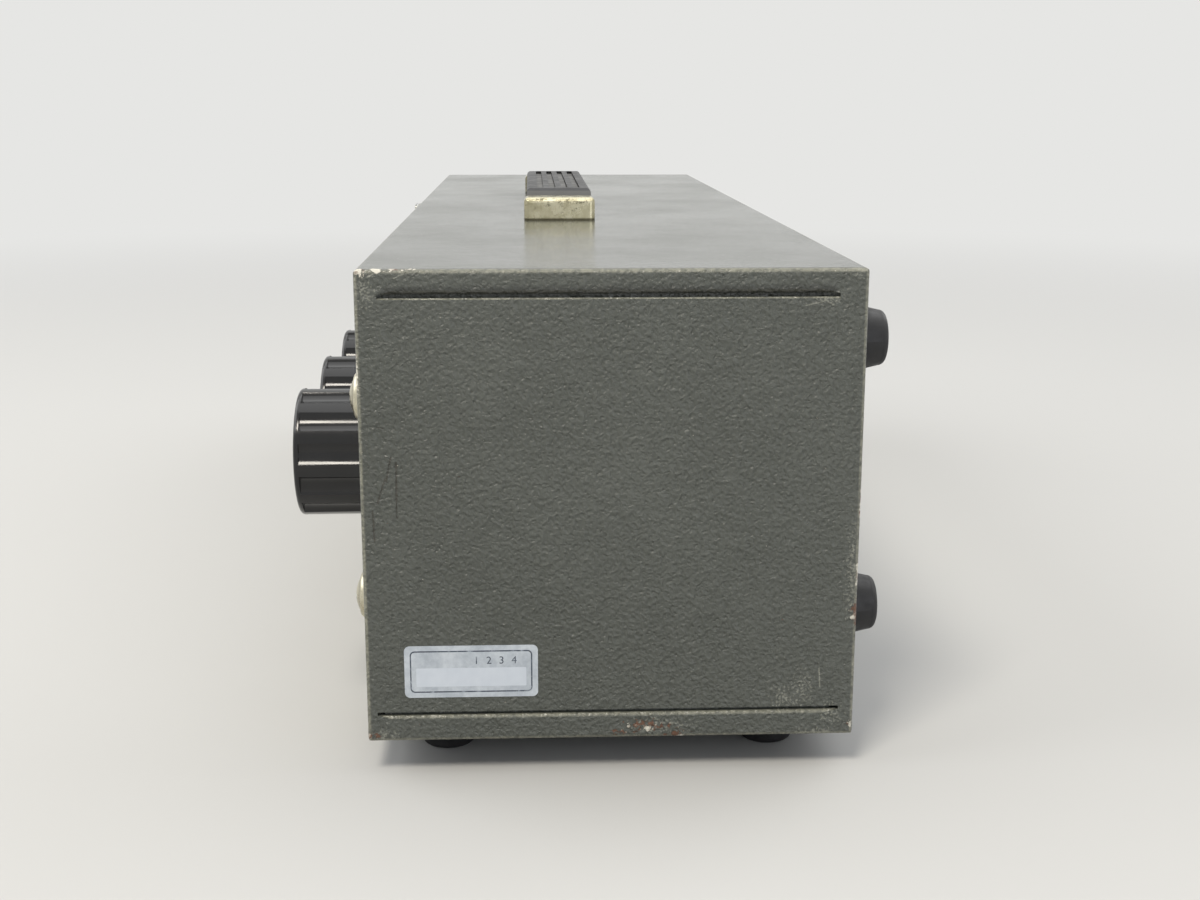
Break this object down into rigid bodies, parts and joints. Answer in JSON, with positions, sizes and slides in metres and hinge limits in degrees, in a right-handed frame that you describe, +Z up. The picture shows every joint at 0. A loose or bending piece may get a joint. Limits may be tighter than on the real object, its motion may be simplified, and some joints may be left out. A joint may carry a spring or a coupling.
{
  "type": "bench function generator",
  "caption": "Bench signal source in a low wide painted steel case, with fluted knobs and a dial on its front panel, a strap handle and rubber feet.",
  "frame": {"origin": "on the surface that the object stands on, at the middle of the outline seen from above", "axes": "+X to the user's right along the case, -Y out of the front panel towards the user, +Z up"},
  "size_m": [0.5051, 0.174, 0.1574],
  "materials": {
    "case_paint": "hammered enamel, semi-gloss",
    "zinc_steel": "zinc plated sheet",
    "nickel": "worn nickel plate",
    "screw_steel": "plated steel",
    "foot_rubber": "moulded black rubber",
    "strap_vinyl": "moulded black vinyl",
    "label_foil": "satin foil",
    "panel_paint": "painted aluminium plate",
    "knob_black": "polished black phenolic",
    "spun_aluminium": "spun",
    "dial_black": "satin black",
    "clear_acrylic": "clear",
    "red_lens": "clear red",
    "core_steel": "varnished laminations",
    "copper_wire": "enamelled copper under tape",
    "board_laminate": "glass-epoxy laminate",
    "chip_black": "moulded epoxy",
    "can_aluminium": "sleeved cans",
    "sink_black": "black anodised",
    "switch_phenolic": "phenolic laminate and plated steel",
    "pot_steel": "plated steel can",
    "brass_parts": "plated brass",
    "white_ptfe": "white insulator",
    "black_moulding": "moulded black phenolic",
    "fuse_glass": "glass tube with metal ends"
  },
  "bodies": {
    "case": {"case_wrapper": "case_paint", "end_panel_right": "case_paint", "end_panel_left": "case_paint", "panel_rails": "zinc_steel", "panel_nuts": "screw_steel", "cup_washers": "nickel", "panel_screws": "nickel", "bottom_feet": "foot_rubber", "rear_feet": "foot_rubber", "foot_screws": "screw_steel", "handle_strap": "strap_vinyl", "handle_caps": "nickel", "handle_screws": "screw_steel", "asset_label": "label_foil", "front_panel": "panel_paint", "chassis_tray": "zinc_steel", "rear_plate": "zinc_steel", "chassis_screws": "screw_steel", "power_inlet": "black_moulding", "inlet_pins": "brass_parts", "fuse_holder": "black_moulding", "ground_terminal": "brass_parts", "transformer_core": "core_steel", "transformer_winding": "copper_wire", "transformer_frame": "zinc_steel", "circuit_board": "board_laminate", "board_standoffs": "brass_parts", "board_ics": "chip_black", "board_capacitors": "can_aluminium", "heat_sink": "sink_black", "regulators": "chip_black", "rotary_switches": "switch_phenolic", "potentiometers": "pot_steel", "bushing_nuts": "nickel", "bnc_shells": "nickel", "bnc_insulators": "white_ptfe", "bnc_contacts": "brass_parts", "lamp_bezel": "nickel", "lamp_lens": "red_lens", "toggle_switch": "nickel", "dial_cursor": "clear_acrylic"},
    "amplitude_control": {"amplitude_knob": "knob_black", "amplitude_inlay": "spun_aluminium", "amplitude_shaft": "screw_steel"},
    "offset_control": {"offset_knob": "knob_black", "offset_inlay": "spun_aluminium", "offset_shaft": "screw_steel"},
    "waveform_control": {"waveform_knob": "knob_black", "waveform_inlay": "spun_aluminium", "waveform_shaft": "screw_steel"},
    "range_control": {"range_knob": "knob_black", "range_inlay": "spun_aluminium", "range_shaft": "screw_steel"},
    "frequency_control": {"frequency_knob": "knob_black", "frequency_inlay": "spun_aluminium", "frequency_shaft": "screw_steel", "frequency_dial": "dial_black"},
    "power_lever": {"toggle_lever": "nickel"},
    "fuse_carrier": {"fuse_cap": "black_moulding", "fuse": "fuse_glass"}
  },
  "joints": [
    {"name": "amplitude_turn", "type": "hinge", "parent": "case", "child": "amplitude_control", "pos_m": [0.2025, -0.064, 0.085], "axis": [0, 1, 0], "range_deg": [-150, 150]},
    {"name": "offset_turn", "type": "hinge", "parent": "case", "child": "offset_control", "pos_m": [0.1415, -0.064, 0.085], "axis": [0, 1, 0], "range_deg": [-150, 150]},
    {"name": "waveform_turn", "type": "hinge", "parent": "case", "child": "waveform_control", "pos_m": [0.0805, -0.064, 0.085], "axis": [0, 1, 0], "range_deg": [-60, 60]},
    {"name": "range_turn", "type": "hinge", "parent": "case", "child": "range_control", "pos_m": [0.0195, -0.064, 0.085], "axis": [0, 1, 0], "range_deg": [-90, 90]},
    {"name": "frequency_turn", "type": "hinge", "parent": "case", "child": "frequency_control", "pos_m": [-0.085, -0.064, 0.085], "axis": [0, 1, 0], "range_deg": [-150, 150]},
    {"name": "power_flip", "type": "hinge", "parent": "case", "child": "power_lever", "pos_m": [-0.196, -0.066, 0.062], "axis": [-1, 0, 0], "range_deg": [0, 24]},
    {"name": "fuse_release", "type": "hinge", "parent": "case", "child": "fuse_carrier", "pos_m": [-0.012, 0.0754, 0.078], "axis": [0, 1, 0], "range_deg": [0, 90]}
  ]
}
